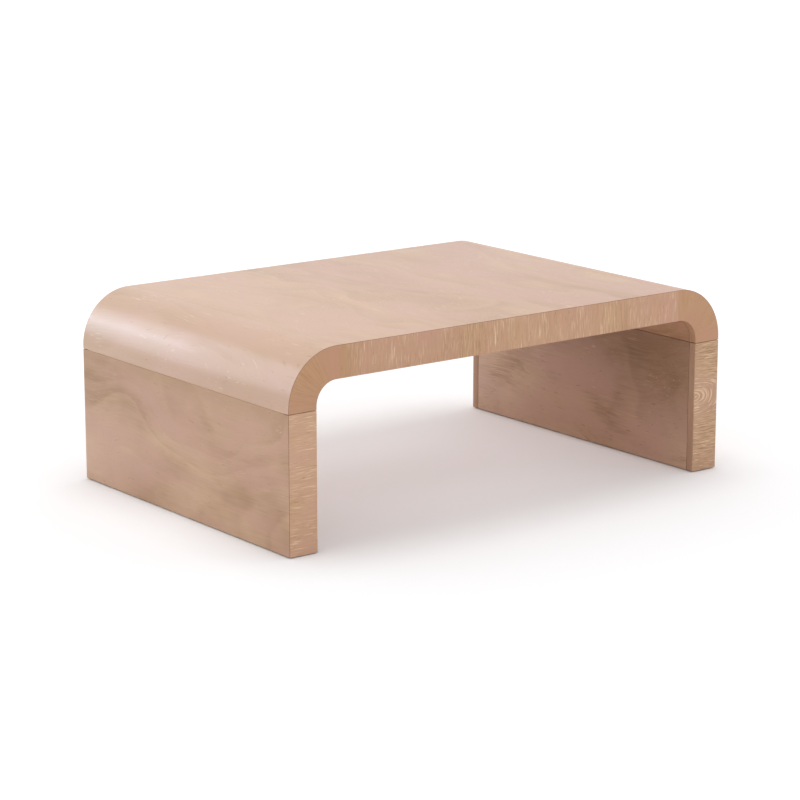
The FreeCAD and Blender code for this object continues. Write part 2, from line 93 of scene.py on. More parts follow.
Pair = tuple[float, float]
Triple = tuple[float, float, float]
Colour = Triple
Piece = bpy.types.Object
Socket = bpy.types.NodeSocket
Input = Union[Socket, float, tuple]
EdgeTest = Callable[[Vector, Vector], bool]


class Side(Enum):
    """The two ends of the table, by the direction that they face along the length."""

    LEFT = -1
    RIGHT = 1

    @property
    def word(self) -> str:
        """The side as it stands in the names of pieces."""
        return self.name.lower()


class Edge(Enum):
    """The two long edges of the table."""

    FRONT = "front"
    REAR = "rear"


class Grain(Enum):
    """Which way the fibres run: the axes that lie across them, along them and through the sheet."""

    DEPTHWISE = ("X", "Y", "Z")
    UPRIGHT = ("X", "Z", "Y")
    LENGTHWISE = ("Z", "X", "Y")
    FOLLOWING = "grain"


def linear(colour: Colour) -> tuple[float, float, float, float]:
    """Turn a colour as a screen shows it, from 0 to 255, into the light that a shader works with.

    Args:
        colour: Red, green and blue from 0 to 255.

    Returns:
        Red, green, blue and alpha, from 0 to 1.
    """
    levels = [level / 255 for level in colour]
    parts = [v / 12.92 if v <= 0.04045 else ((v + 0.055) / 1.055) ** 2.4 for v in levels]
    return (parts[0], parts[1], parts[2], 1.0)


class NodeBoard:
    """A node tree that is wired up step by step."""

    def __init__(self, tree: bpy.types.NodeTree) -> None:
        """Take the tree that the nodes go into."""
        self.tree = tree

    def feed(self, socket: Socket, source: Input) -> None:
        """Give a socket its source.

        Args:
            socket: The input to feed.
            source: Another node's output, or a plain value.
        """
        if isinstance(source, Socket):
            self.tree.links.new(source, socket)
        else:
            socket.default_value = source

    def add(self, kind: str, *sources: Input, **settings: object) -> bpy.types.Node:
        """Add a node.

        Args:
            kind: The node's type, without the word that all shader nodes start with.
            sources: What its first inputs take, in order.
            settings: Properties to set on the node before its inputs are fed.

        Returns:
            The new node.
        """
        node = self.tree.nodes.new(f"ShaderNode{kind}")
        for name, setting in settings.items():
            setattr(node, name, setting)
        for socket, source in zip(node.inputs, sources):
            self.feed(socket, source)
        return node

    def math(self, operation: str, *sources: Input) -> Socket:
        """Work out one number from others."""
        return self.add("Math", *sources, operation=operation).outputs[0]

    def vector(self, operation: str, *sources: Input) -> Socket:
        """Work out one vector from others."""
        return self.add("VectorMath", *sources, operation=operation).outputs[0]

    def spread(self, source: Input, low: Input, high: Input) -> Socket:
        """Stretch the part of a value between two limits smoothly over 0 to 1."""
        ramp = self.add("MapRange", source, low, high, interpolation_type="SMOOTHSTEP")
        return ramp.outputs[0]

    def noise(self, place: Input, detail: float, roughness: float = 0.5) -> Socket:
        """Read smooth noise, one cell to the unit, at a place.

        Args:
            place: Where to read it.
            detail: How many finer layers are added.
            roughness: How strong each finer layer is.

        Returns:
            The noise, from 0 to 1 around a half.
        """
        node = self.add("TexNoise")
        self.feed(node.inputs["Vector"], place)
        self.feed(node.inputs["Scale"], 1.0)
        self.feed(node.inputs["Detail"], detail)
        self.feed(node.inputs["Roughness"], roughness)
        return node.outputs["Fac"]

    def blend(self, share: Input, first: Input, second: Input) -> Socket:
        """Mix two colours.

        Args:
            share: How much of the second shows, from 0 to 1.
            first: The colour below.
            second: The colour over it.

        Returns:
            The mixed colour.
        """
        node = self.add("Mix", data_type="RGBA")
        colours = [socket for socket in node.inputs if socket.type == "RGBA"]
        self.feed(node.inputs[0], share)
        self.feed(colours[0], first)
        self.feed(colours[1], second)
        return next(socket for socket in node.outputs if socket.type == "RGBA")


def new_group(name: str, inputs: dict[str, str], outputs: dict[str, str]) -> tuple[NodeBoard, dict, dict]:
    """Start a shader node group.

    Args:
        name: The group's name.
        inputs: The type of each named input.
        outputs: The type of each named output.

    Returns:
        The board to wire it on, its inputs by name, and the sockets to feed its outputs, by name.
    """
    group = bpy.data.node_groups.new(name, "ShaderNodeTree")
    for direction, sockets in (("INPUT", inputs), ("OUTPUT", outputs)):
        for socket, kind in sockets.items():
            group.interface.new_socket(name=socket, in_out=direction, socket_type=f"NodeSocket{kind}")
    given = group.nodes.new("NodeGroupInput")
    wanted = group.nodes.new("NodeGroupOutput")
    return NodeBoard(group), dict(given.outputs.items()), dict(wanted.inputs.items())


@dataclass(frozen=True)
class Trait:
    """One trait of timber, read from noise: the size of its cells, and which part of the noise shows."""

    cell: Triple
    low: float
    high: float
    detail: float = 1.0
    crumble: float = 0.5
    shift: Triple = (0.0, 0.0, 0.0)

    def read(self, board: NodeBoard, place: Input, more: Input = 0.0) -> Socket:
        """Read the trait at a place.

        Args:
            board: The board to wire on.
            place: Where to read it.
            more: What is added to the noise, so that more of it shows.

        Returns:
            How strongly the trait shows, from 0 to 1.
        """
        cells = board.vector("ADD", board.vector("DIVIDE", place, self.cell), self.shift)
        level = board.math("ADD", board.noise(cells, self.detail, self.crumble), more)
        return board.spread(level, self.low, self.high)


class WoodFigure:
    """The shader node group that all timber on the table shares: fibres, clouds, rings, flecks and ticks."""

    NAME = "wood_figure"
    WARP_CELL = (0.22, 0.5, 0.22)
    # These traits are sized in fibre widths and fibre lengths
    FIBRE = Trait((1.0, 1.0, 1.0), 0.28, 0.72, detail=3.0)
    STREAK = Trait((3.2, 2.4, 3.2), 0.3, 0.7, shift=(17.3, 5.1, 2.7))
    FLECK = Trait((1.5, 1.2, 1.5), 0.64, 0.76, shift=(3.9, 11.7, 8.3))
    TICK = Trait((2.4, 0.6, 2.4), 0.68, 0.78, shift=(23.1, 2.9, 14.5))
    # These are sized in metres
    CLOUD = Trait((0.17, 0.27, 0.17), 0.28, 0.72, detail=3.0, crumble=0.52)
    DRIFT = Trait((0.1, 0.26, 0.1), 0.28, 0.72, detail=2.0, shift=(2.2, 7.9, 4.4))
    PATCH = Trait((0.045, 0.12, 0.045), 0.42, 0.64, shift=(12.6, 3.7, 1.9))
    LEAF = Trait((0.12, 1.6, 0.12), 0.3, 0.7, shift=(6.4, 1.3, 9.1))
    # Growth rings, cut at a slant, so that they show as broad arcs
    RING_WIDTH = 0.11
    RING_CELL = (0.2, 0.36, 0.2)
    RING_SWIRL = 5.0
    RING_FALL = 0.8
    # A knot is an oval, and its fibres differ above and below it
    KNOT_STRETCH = 1.9
    KNOT_SHEAR = 0.05
    KNOT_CORE = 0.5
    SMOOTHEST = 0.36
    ROUGHEST = 0.44
    # The middle of noise and of tones, and how deep pores are sunk for each step of the fibres
    MIDDLE = 0.5
    PORE_DEPTH = -0.5
    PLACES = ("Place", "Cut", "Knot Place", "Fade Line")
    COLOURS = ("Pale", "Body", "Deep", "Blush", "Wash", "Fade Colour")
    FIBRES = ("Fibre Width", "Fibre Length", "Waviness")
    STRENGTHS = ("Fibre", "Streak", "Cloud", "Ring", "Leaf", "Drift", "Fleck", "More Flecks", "Tick")
    KNOT_AND_FADE = ("Knot Reach", "Knot", "Knot Flecks", "Fade", "Fade From", "Fade To")
    INPUTS = {
        **dict.fromkeys(PLACES, "Vector"),
        **dict.fromkeys(COLOURS, "Color"),
        **dict.fromkeys(FIBRES + STRENGTHS + KNOT_AND_FADE, "Float"),
    }
    OUTPUTS = {"Color": "Color", "Roughness": "Float", "Height": "Float"}

    @classmethod
    def group(cls) -> bpy.types.NodeTree:
        """Give the group, built the first time that it is asked for."""
        return bpy.data.node_groups.get(cls.NAME) or cls().build()

    def build(self) -> bpy.types.NodeTree:
        """Wire up the group.

        Returns:
            The finished group.
        """
        board, given, wanted = new_group(self.NAME, self.INPUTS, self.OUTPUTS)
        arch, near = self.knot(board, given)
        wavy, fibres = self.wood_places(board, given, arch)
        fibre = self.FIBRE.read(board, fibres)
        streak = self.STREAK.read(board, fibres)
        cloud = self.CLOUD.read(board, wavy)
        ring = self.rings(board, wavy)
        leaf = self.LEAF.read(board, wavy)
        more_flecks = board.math("MULTIPLY_ADD", near, given["Knot Flecks"], given["More Flecks"])
        fleck = self.FLECK.read(board, fibres, more_flecks)
        patchy_fleck = board.math("MULTIPLY", fleck, self.PATCH.read(board, wavy, more_flecks))
        tick = self.TICK.read(board, fibres)

        tone = self.MIDDLE
        layers = {"Fibre": fibre, "Streak": streak, "Cloud": cloud, "Ring": ring, "Leaf": leaf}
        for name, layer in layers.items():
            swing = board.math("SUBTRACT", layer, self.MIDDLE)
            tone = board.math("MULTIPLY_ADD", swing, given[name], tone)
        towards_pale = board.math("MULTIPLY_ADD", tone, 2.0, -1.0)
        towards_deep = board.math("MULTIPLY_ADD", tone, -2.0, 1.0)
        colour = board.blend(towards_pale, given["Body"], given["Pale"])
        colour = board.blend(towards_deep, colour, given["Deep"])
        drift = board.math("MULTIPLY", self.DRIFT.read(board, wavy), given["Drift"])
        colour = board.blend(drift, colour, given["Blush"])
        colour = board.blend(self.fade(board, given), colour, given["Fade Colour"])
        colour = board.blend(board.math("MULTIPLY", tick, given["Tick"]), colour, given["Deep"])
        colour = board.blend(board.math("MULTIPLY", patchy_fleck, given["Fleck"]), colour, given["Wash"])
        board.feed(wanted["Color"], colour)
        smoothing = self.SMOOTHEST - self.ROUGHEST
        board.feed(wanted["Roughness"], board.math("MULTIPLY_ADD", fibre, smoothing, self.ROUGHEST))
        sunk = board.math("ADD", tick, patchy_fleck)
        board.feed(wanted["Height"], board.math("MULTIPLY_ADD", sunk, self.PORE_DEPTH, fibre))
        return board.tree

    def fade(self, board: NodeBoard, given: dict) -> Socket:
        """Work out how far a sheet has changed its colour towards one end: painted light on the face veneer,
        painted shade mixed with the wood's own tone on the leg veneer, painted shade on the right leg's
        lining, and the wood's own tone on the top's facings.

        Args:
            board: The board to wire on.
            given: The group's inputs.

        Returns:
            The share of the other colour.
        """
        along = board.add("VectorMath", given["Place"], given["Fade Line"], operation="DOT_PRODUCT")
        share = board.spread(along.outputs["Value"], given["Fade From"], given["Fade To"])
        return board.math("MULTIPLY", share, given["Fade"])

    def rings(self, board: NodeBoard, wavy: Socket) -> Socket:
        """Draw growth rings, each of which deepens slowly and ends at a crisper line.

        Args:
            board: The board to wire on.
            wavy: The place in metres.

        Returns:
            How far a point lies through its ring, from 0 to 1.
        """
        axes = board.add("SeparateXYZ", wavy).outputs
        across = board.math("DIVIDE", board.math("ADD", axes["X"], axes["Z"]), self.RING_WIDTH)
        swirl = board.noise(board.vector("DIVIDE", wavy, self.RING_CELL), 1.0)
        through = board.math("FRACT", board.math("MULTIPLY_ADD", swirl, self.RING_SWIRL, across))
        kept = board.math("SUBTRACT", 1.0, board.spread(through, self.RING_FALL, 1.0))
        return board.math("MULTIPLY", through, kept)

    def bell(self, board: NodeBoard, distance: Input, reach: Input) -> Socket:
        """Fall off smoothly from 1 at no distance to nearly 0 at twice the reach."""
        share = board.math("DIVIDE", distance, reach)
        return board.math("EXPONENT", board.math("MULTIPLY", board.math("MULTIPLY", share, share), -1.0))

    def knot(self, board: NodeBoard, given: dict) -> tuple[Socket, Socket]:
        """Work out how the fibres arch round a knot.

        Args:
            board: The board to wire on.
            given: The group's inputs.

        Returns:
            How far a point moves in the timber, and how near it is to the knot, from 0 to 1.
        """
        away = board.add("SeparateXYZ", board.vector("SUBTRACT", given["Place"], given["Knot Place"])).outputs
        bulge = board.math("MULTIPLY", away["Y"], self.bell(board, away["X"], given["Knot Reach"]))
        shrunk = board.math("DIVIDE", bulge, self.KNOT_STRETCH)
        oval = board.add("CombineXYZ", away["X"], shrunk, 0.0).outputs[0]
        distance = board.add("VectorMath", oval, operation="LENGTH").outputs["Value"]
        across = board.math("MULTIPLY", board.math("SUBTRACT", distance, away["X"]), given["Knot"])
        through = board.math("MULTIPLY", board.math("MULTIPLY", away["X"], self.KNOT_SHEAR), given["Knot"])
        arch = board.add("CombineXYZ", across, 0.0, through).outputs[0]
        core = board.math("MULTIPLY", given["Knot Reach"], self.KNOT_CORE)
        return arch, self.bell(board, distance, core)

    def wood_places(self, board: NodeBoard, given: dict, arch: Socket) -> tuple[Socket, Socket]:
        """Work out where a point lies in timber whose fibres wander and arch over a knot.

        Args:
            board: The board to wire on.
            given: The group's inputs.
            arch: How far the knot moves a point in the timber.

        Returns:
            The place in metres, and in fibre widths across and fibre lengths along.
        """
        place = board.vector("ADD", given["Place"], given["Cut"])
        warp = board.noise(board.vector("DIVIDE", place, self.WARP_CELL), 1.0)
        wander = board.math("MULTIPLY", board.math("SUBTRACT", warp, self.MIDDLE), given["Waviness"])
        sway = board.add("CombineXYZ", wander, 0.0, wander).outputs[0]
        wavy = board.vector("ADD", board.vector("ADD", place, sway), arch)
        width, length = given["Fibre Width"], given["Fibre Length"]
        fibre = board.add("CombineXYZ", width, length, width).outputs[0]
        return wavy, board.vector("DIVIDE", wavy, fibre)


@dataclass(frozen=True)
class WoodFinish:
    """A timber surface: its colours, the size of its fibres and how strongly each trait shows.

    A field feeds the input of the same name on the figure that all timber shares.
    """

    name: str
    pale: Colour
    body: Colour
    deep: Colour
    blush: Colour
    wash: Colour
    cut: Triple = (0.0, 0.0, 0.0)
    fibre_width: float = 0.0018
    fibre_length: float = 0.06
    waviness: float = 0.03
    fibre: float = 0.3
    streak: float = 0.2
    cloud: float = 0.3
    ring: float = 0.0
    leaf: float = 0.0
    drift: float = 0.3
    fleck: float = 0.4
    more_flecks: float = 0.0
    tick: float = 0.3
    relief: float = 0.00008
    gloss: float = 0.5
    knot_place: Triple = (0.0, 0.0, 0.0)
    knot_reach: float = 0.03
    knot: float = 0.0
    knot_flecks: float = 0.0
    fade: float = 0.0
    fade_line: Triple = (1.0, 0.0, 0.0)
    fade_from: float = 0.0
    fade_to: float = 1.0
    fade_colour: Colour = (255, 255, 255)

    def material(self, grain: Grain) -> bpy.types.Material:
        """Give the material with its fibres laid one way.

        Args:
            grain: Which way the fibres run.

        Returns:
            The material, built the first time that it is asked for.
        """
        label = f"{self.name}_{grain.name.lower()}"
        known = bpy.data.materials.get(label)
        if known:
            return known
        material, board, shader = new_material(label)
        figure = board.tree.nodes.new("ShaderNodeGroup")
        figure.node_tree = WoodFigure.group()
        board.feed(figure.inputs["Place"], grain_place(board, grain))
        for trait in fields(self):
            socket = figure.inputs.get(trait.name.replace("_", " ").title())
            if socket is not None:
                value = getattr(self, trait.name)
                board.feed(socket, linear(value) if socket.type == "RGBA" else value)
        board.feed(shader.inputs["Base Color"], figure.outputs["Color"])
        board.feed(shader.inputs["Roughness"], figure.outputs["Roughness"])
        shader.inputs["Specular IOR Level"].default_value = self.gloss
        add_relief(board, shader, figure.outputs["Height"], self.relief)
        return material


@dataclass(frozen=True)
class SpeckledFinish:
    """A turned or moulded surface: one tone that drifts to another in fine specks."""

    name: str
    light: Colour
    dark: Colour
    speck: float
    metallic: float
    roughness: Pair
    relief: float = 0.00002
    detail: float = 3.0
    crumble: float = 0.6
    shown: Pair = (0.3, 0.7)

    def material(self, grain: Grain) -> bpy.types.Material:
        """Give the material, built the first time that it is asked for.

        Args:
            grain: Which way the tool marks run.

        Returns:
            The material.
        """
        known = bpy.data.materials.get(self.name)
        if known:
            return known
        material, board, shader = new_material(self.name)
        cells = board.vector("DIVIDE", grain_place(board, grain), (self.speck,) * 3)
        speck = board.spread(board.noise(cells, self.detail, self.crumble), *self.shown)
        board.feed(shader.inputs["Base Color"], board.blend(speck, linear(self.dark), linear(self.light)))
        smooth, rough = self.roughness
        board.feed(shader.inputs["Roughness"], board.math("MULTIPLY_ADD", speck, rough - smooth, smooth))
        shader.inputs["Metallic"].default_value = self.metallic
        add_relief(board, shader, speck, self.relief)
        return material


Finish = Union[WoodFinish, SpeckledFinish]


def new_material(name: str) -> tuple[bpy.types.Material, NodeBoard, bpy.types.Node]:
    """Start a material with a bare surface shader.

    Args:
        name: The material's name.

    Returns:
        The material, the board to wire it on, and its shader.
    """
    material = bpy.data.materials.new(name)
    material.use_nodes = True
    board = NodeBoard(material.node_tree)
    return material, board, material.node_tree.nodes["Principled BSDF"]


def grain_place(board: NodeBoard, grain: Grain) -> Socket:
    """Read a point's place, turned so that the fibres run along the second axis.

    Args:
        board: The material's board.
        grain: Which way the fibres run.

    Returns:
        The place, in metres.
    """
    if grain is Grain.FOLLOWING:
        return board.add("Attribute", attribute_name=grain.value).outputs["Vector"]
    place = board.add("TexCoord").outputs["Object"]
    parts = board.add("SeparateXYZ", place).outputs
    return board.add("CombineXYZ", *(parts[axis] for axis in grain.value)).outputs[0]


def add_relief(board: NodeBoard, shader: bpy.types.Node, height: Socket, depth: float) -> None:
    """Raise a surface by a pattern.

    Args:
        board: The material's board.
        shader: The surface shader.
        height: The pattern.
        depth: How far its highest point stands up, in metres.
    """
    bump = board.add("Bump")
    board.feed(bump.inputs["Distance"], depth)
    board.feed(bump.inputs["Height"], height)
    board.feed(shader.inputs["Normal"], bump.outputs["Normal"])


FACE_VENEER = WoodFinish(
    name="washed_face_veneer",
    pale=(214, 180, 149),
    body=(199, 163, 133),
    deep=(178, 140, 110),
    blush=(203, 163, 144),
    wash=(238, 211, 184),
    cut=(2.82, 1.66, 2.62),
    waviness=0.16,
    fibre=0.1,
    streak=0.08,
    cloud=0.2,
    ring=0.35,
    leaf=0.4,
    drift=1.0,
    fleck=0.8,
    tick=0.4,
    gloss=0.75,
    # Lighter towards the left end of the top and over the left bend: painted light, standing in for more
    # light on that end.
    fade=0.28,
    fade_from=0.3,
    fade_to=-0.56,
    fade_colour=(236, 203, 176),
)
LEG_VENEER = replace(
    FACE_VENEER,
    name="washed_leg_veneer",
    pale=(218, 184, 155),
    body=(203, 167, 137),
    deep=(177, 140, 110),
    blush=(207, 167, 148),
    wash=(230, 198, 168),
    cut=(2.75, 2.08, -3.0),
    cloud=0.75,
    ring=0.3,
    streak=0.14,
    leaf=0.0,
    fleck=0.35,
    tick=0.5,
    gloss=0.25,
    # Darker and a little yellower just below the seam: partly the veneer's own tone, partly painted shade for
    # the shade under the overhanging bend.
    fade=0.5,
    fade_line=(0.0, 0.0, 1.0),
    fade_from=0.25,
    fade_to=0.3,
    fade_colour=(187, 151, 120),
)
LINING_VENEER = replace(
    LEG_VENEER,
    name="washed_lining_veneer",
    pale=(223, 190, 161),
    body=(209, 173, 143),
    deep=(172, 133, 106),
    blush=(213, 172, 154),
    cut=(2.95, -0.33, -1.74),
    fibre=0.3,
    streak=0.22,
    cloud=0.5,
    fleck=0.6,
    fade=0.0,
)
# This copy of the lining darkens towards its upper front: painted shade for the shade that the top casts on
# the right leg's inner panel.
PAINTED_SHADE_LINING = replace(
    LINING_VENEER,
    name="deepening_lining_veneer",
    pale=(226, 193, 165),
    body=(212, 176, 146),
    deep=(159, 119, 93),
    blush=(216, 175, 158),
    fibre=0.22,
    streak=0.18,
    cloud=0.55,
    fade=0.65,
    fade_line=(0.0, -0.4, 0.92),
    fade_from=0.1,
    fade_to=0.36,
    fade_colour=(152, 118, 92),
)
# A darker copy of the lining, on the bends' liners and cheeks: painted shade for the shade under the bends.
PAINTED_SHADE_BEND_LINING = replace(
    LINING_VENEER,
    name="curved_lining_veneer",
    pale=(206, 163, 126),
    body=(193, 148, 112),
    deep=(162, 116, 84),
    blush=(197, 147, 120),
)
VENEER_EDGE = replace(
    LEG_VENEER,
    name="cut_veneer_edge",
    pale=(184, 142, 115),
    body=(164, 122, 96),
    deep=(138, 99, 75),
    blush=(164, 122, 100),
    wash=(196, 156, 126),
    fibre=0.5,
    ring=0.0,
    fade=0.0,
)
EDGE_FACING = WoodFinish(
    name="cross_cut_facing",
    pale=(222, 178, 139),
    body=(209, 164, 125),
    deep=(176, 131, 93),
    blush=(212, 163, 136),
    wash=(248, 214, 178),
    fibre_width=0.0009,
    fibre_length=0.03,
    waviness=0.014,
    fibre=0.6,
    streak=0.3,
    cloud=0.3,
    drift=1.0,
    fleck=0.8,
    more_flecks=0.07,
    tick=0.9,
)
# A lighter copy of the facing, on the left leg's front: painted light for the extra light that face catches
# from the front left.
PAINTED_LIGHT_FACING = replace(
    EDGE_FACING,
    name="pale_facing",
    pale=(227, 187, 148),
    body=(215, 173, 134),
    deep=(184, 141, 104),
    blush=(219, 173, 145),
)
TOP_FACING = replace(
    EDGE_FACING,
    name="top_facing",
    fade=0.9,
    fade_from=-0.41,
    fade_to=-0.475,
    fade_colour=(202, 154, 113),
)
KNOT_FACING = replace(
    EDGE_FACING,
    name="knotted_facing",
    pale=(219, 180, 141),
    body=(203, 163, 124),
    deep=(166, 124, 88),
    blush=(207, 163, 135),
    fibre_width=0.0012,
    fibre=1.1,
    streak=0.4,
    knot_place=(0.178, 0.531, -0.4),
    knot_reach=0.055,
    knot=1.0,
    knot_flecks=0.1,
)
BEND_FACING = replace(
    EDGE_FACING,
    name="curved_facing",
    pale=(212, 165, 125),
    body=(202, 154, 113),
    deep=(177, 129, 89),
    blush=(206, 153, 123),
    wash=(226, 182, 142),
    fibre=0.3,
    streak=0.25,
    fleck=0.5,
    more_flecks=0.0,
    tick=0.5,
)
EDGE_STRIP = replace(
    LEG_VENEER,
    name="washed_edge_strip",
    pale=(201, 165, 132),
    body=(187, 150, 117),
    deep=(163, 126, 94),
    blush=(190, 150, 126),
    fibre=0.3,
    streak=0.3,
    ring=0.0,
    waviness=0.01,
    fade=0.0,
)
CORE_BOARD = WoodFinish(
    name="raw_birch_board",
    pale=(226, 196, 150),
    body=(210, 178, 132),
    deep=(182, 146, 100),
    blush=(212, 176, 134),
    wash=(232, 206, 164),
    fibre_width=0.003,
    fibre_length=0.12,
    streak=0.4,
)
FRAME_TIMBER = WoodFinish(
    name="planed_softwood",
    pale=(232, 204, 156),
    body=(216, 182, 130),
    deep=(188, 146, 92),
    blush=(218, 178, 130),
    wash=(236, 210, 166),
    fibre_width=0.004,
    fibre_length=0.2,
    fibre=0.5,
    streak=0.6,
)
DOWEL_BEECH = WoodFinish(
    name="fluted_beech",
    pale=(224, 186, 146),
    body=(206, 164, 122),
    deep=(180, 134, 92),
    blush=(208, 162, 126),
    wash=(228, 192, 154),
    fibre_width=0.001,
    fibre_length=0.012,
    waviness=0.002,
    fibre=0.5,
    streak=0.4,
)
ZINC_STEEL = SpeckledFinish("zinc_plated_steel", (196, 198, 200), (164, 167, 170), 0.0012, 1.0, (0.28, 0.42))
INSERT_BRASS = SpeckledFinish("turned_brass", (222, 190, 120), (196, 158, 88), 0.0010, 1.0, (0.22, 0.36))
GLIDE_PLASTIC = SpeckledFinish("moulded_glide", (74, 66, 60), (52, 46, 42), 0.0006, 0.0, (0.45, 0.6))

SLOT_FINISHES: dict[str, Finish] = {
    "face_veneer": FACE_VENEER,
    "edge_facing": EDGE_FACING,
    "lining_veneer": LINING_VENEER,
    "edge_strip": EDGE_STRIP,
    "core_board": CORE_BOARD,
    "frame_timber": FRAME_TIMBER,
    "dowel_beech": DOWEL_BEECH,
    "zinc_steel": ZINC_STEEL,
    "insert_brass": INSERT_BRASS,
    "glide_plastic": GLIDE_PLASTIC,
}


def deselect_all() -> None:
    """Leave nothing selected."""
    bpy.ops.object.select_all(action="DESELECT")


def take_up(piece: Piece) -> None:
    """Select one piece alone and make it the active one."""
    deselect_all()
    piece.select_set(True)
    bpy.context.view_layer.objects.active = piece


@contextmanager
def shaping(piece: Piece) -> Iterator[None]:
    """Open a piece in edit mode with nothing selected, and close it again.

    Args:
        piece: The piece to shape.

    Returns:
        The span in which edit operators act on the piece.
    """
    take_up(piece)
    bpy.ops.object.mode_set(mode="EDIT")
    bpy.ops.mesh.select_all(action="DESELECT")
    yield
    bpy.ops.object.mode_set(mode="OBJECT")


def start_block(name: str, low: Vector, high: Vector) -> Piece:
    """Start a piece as a block between two corners.

    Args:
        name: The piece's name.
        low: Its lowest corner.
        high: Its highest corner.

    Returns:
        The block, with its place in its mesh.
    """
    deselect_all()
    bpy.ops.mesh.primitive_cube_add(size=1, location=(low + high) / 2)
    piece = bpy.context.active_object
    piece.name = name
    piece.data.name = name
    piece.scale = high - low
    bpy.ops.object.transform_apply(location=True, rotation=True, scale=True)
    return piece


def ease_edges(piece: Piece, test: EdgeTest, radius: float, segments: int) -> None:
    """Round the edges of a piece that a test picks out.

    Args:
        piece: The piece.
        test: Says whether the edge between two points is meant.
        radius: How far the rounding reaches.
        segments: How many facets it has.
    """
    with shaping(piece):
        bpy.ops.mesh.select_mode(type="EDGE")
        mesh = bmesh.from_edit_mesh(piece.data)
        for edge in mesh.edges:
            edge.select_set(test(edge.verts[0].co, edge.verts[1].co))
        bmesh.update_edit_mesh(piece.data)
        bpy.ops.mesh.bevel(offset=radius, segments=segments, profile=ROUND_PROFILE, affect="EDGES")


def finish_piece(piece: Piece, node: str, finish: Finish, grain: Grain) -> None:
    """Shade a modelled piece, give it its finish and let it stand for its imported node.

    Args:
        piece: The modelled piece.
        node: The node that it replaces.
        finish: Its finish.
        grain: Which way its fibres run.
    """
    take_up(piece)
    bpy.ops.object.shade_smooth_by_angle(angle=SMOOTH_ANGLE)
    piece.data.materials.clear()
    piece.data.materials.append(finish.material(grain))
    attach(piece, BODY)
    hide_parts(node)
    LOG.info("modelled %s with %d faces", piece.name, len(piece.data.polygons))


def show_cut_edges(veneer: Piece, grain: Grain) -> None:
    """Give the edges of a veneer sheet that face to the front and rear the darker look of a cut edge.

    Args:
        veneer: The sheet, already finished.
        grain: Which way its fibres run.
    """
    veneer.data.materials.append(VENEER_EDGE.material(grain))
    for face in veneer.data.polygons:
        if abs(face.normal.y) > CUT_EDGE_TURN:
            face.material_index = 1


def dress_node(node: str, grain: Grain) -> None:
    """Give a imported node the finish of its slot.

    Args:
        node: The node.
        grain: Which way its fibres run.
    """
    finish = SLOT_FINISHES[SLOTS[node]]
    packed = frame["nodes"][node]
    if not packed.material_slots:
        packed.data.materials.append(None)
    for slot in packed.material_slots:
        slot.material = finish.material(grain)
    LOG.info("dressed %s in %s", node, finish.name)


@dataclass(frozen=True)
class TableForm:
    """The outline that the pieces share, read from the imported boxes."""

    half_length: float
    half_depth: float
    height: float
    underside: float
    veneer: float
    lining: float
    top_joint: float
    seam: float

    @classmethod
    def from_frame(cls) -> "TableForm":
        """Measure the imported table.

        Returns:
            Its outline.
        """
        top_low, top_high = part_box("top_face_veneer")
        lining_low, lining_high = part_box("underside_panel")
        return cls(
            half_length=CAD_BOX[1].x,
            half_depth=CAD_BOX[1].y,
            height=CAD_BOX[1].z,
            underside=lining_low.z,
            veneer=top_high.z - top_low.z,
            lining=lining_high.z - lining_low.z,
            top_joint=top_high.x,
            seam=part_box("right_bend_face_veneer")[0].z,
        )

    @property
    def centre_x(self) -> float:
        """How far the centre of a bend stands from the middle."""
        return self.top_joint + BEND_LEAD

    @property
    def centre_z(self) -> float:
        """How high the centre of a bend stands."""
        return self.seam + BEND_LEAD

    @property
    def radius(self) -> float:
        """The outer radius of a bend."""
        return self.half_length - self.centre_x

    @property
    def panel(self) -> float:
        """The thickness of the top and of the legs."""
        return self.height - self.underside

    def round_bend(self, point: Vector) -> Pair:
        """Measure a point along the outline and below it.

        Args:
            point: The point.

        Returns:
            Its way along the middle of the panel from where a bend starts above the leg, and its distance
            from the bend's centre line.
        """
        along = abs(point.x) - self.centre_x
        up = point.z - self.centre_z
        middle = self.radius - self.panel / 2
        if up <= 0:
            return up, along
        if along <= 0:
            return middle * QUARTER_TURN - along, up
        return middle * math.atan2(up, along), math.hypot(along, up)

    def on_skin(self, point: Vector, depth: float = 0.0) -> bool:
        """Say whether a point lies at a depth below the outer surface."""
        return abs(self.radius - self.round_bend(point)[1] - depth) < TOUCHING

    def on_wall(self, point: Vector) -> bool:
        """Say whether a point lies on the front or rear face."""
        return abs(abs(point.y) - self.half_depth) < TOUCHING


@dataclass
class FlatPanel:
    """A flat, veneered panel of the table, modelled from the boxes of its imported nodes."""

    form: TableForm

    def sheet(self, node: str) -> Piece:
        """Start a flat piece of the panel as large as its node."""
        return start_block(f"{node}_finished", *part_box(node))

    def ease_long_edges(self, piece: Piece, depth: float, radius: float) -> None:
        """Round the long edges on the front and rear faces at a depth below the skin.

        Args:
            piece: The piece.
            depth: The depth of the edges that are meant.
            radius: The rounding.
        """
        form = self.form

        def test(start: Vector, end: Vector) -> bool:
            """Pick the edges that lie on both faces at that depth."""
            return all(form.on_wall(p) and form.on_skin(p, depth) for p in (start, end))

        ease_edges(piece, test, radius, ARRIS_SEGMENTS)

    def ease_all(self, piece: Piece, radius: float) -> None:
        """Break every edge of a piece."""
        ease_edges(piece, lambda start, end: True, radius, EASING_SEGMENTS)


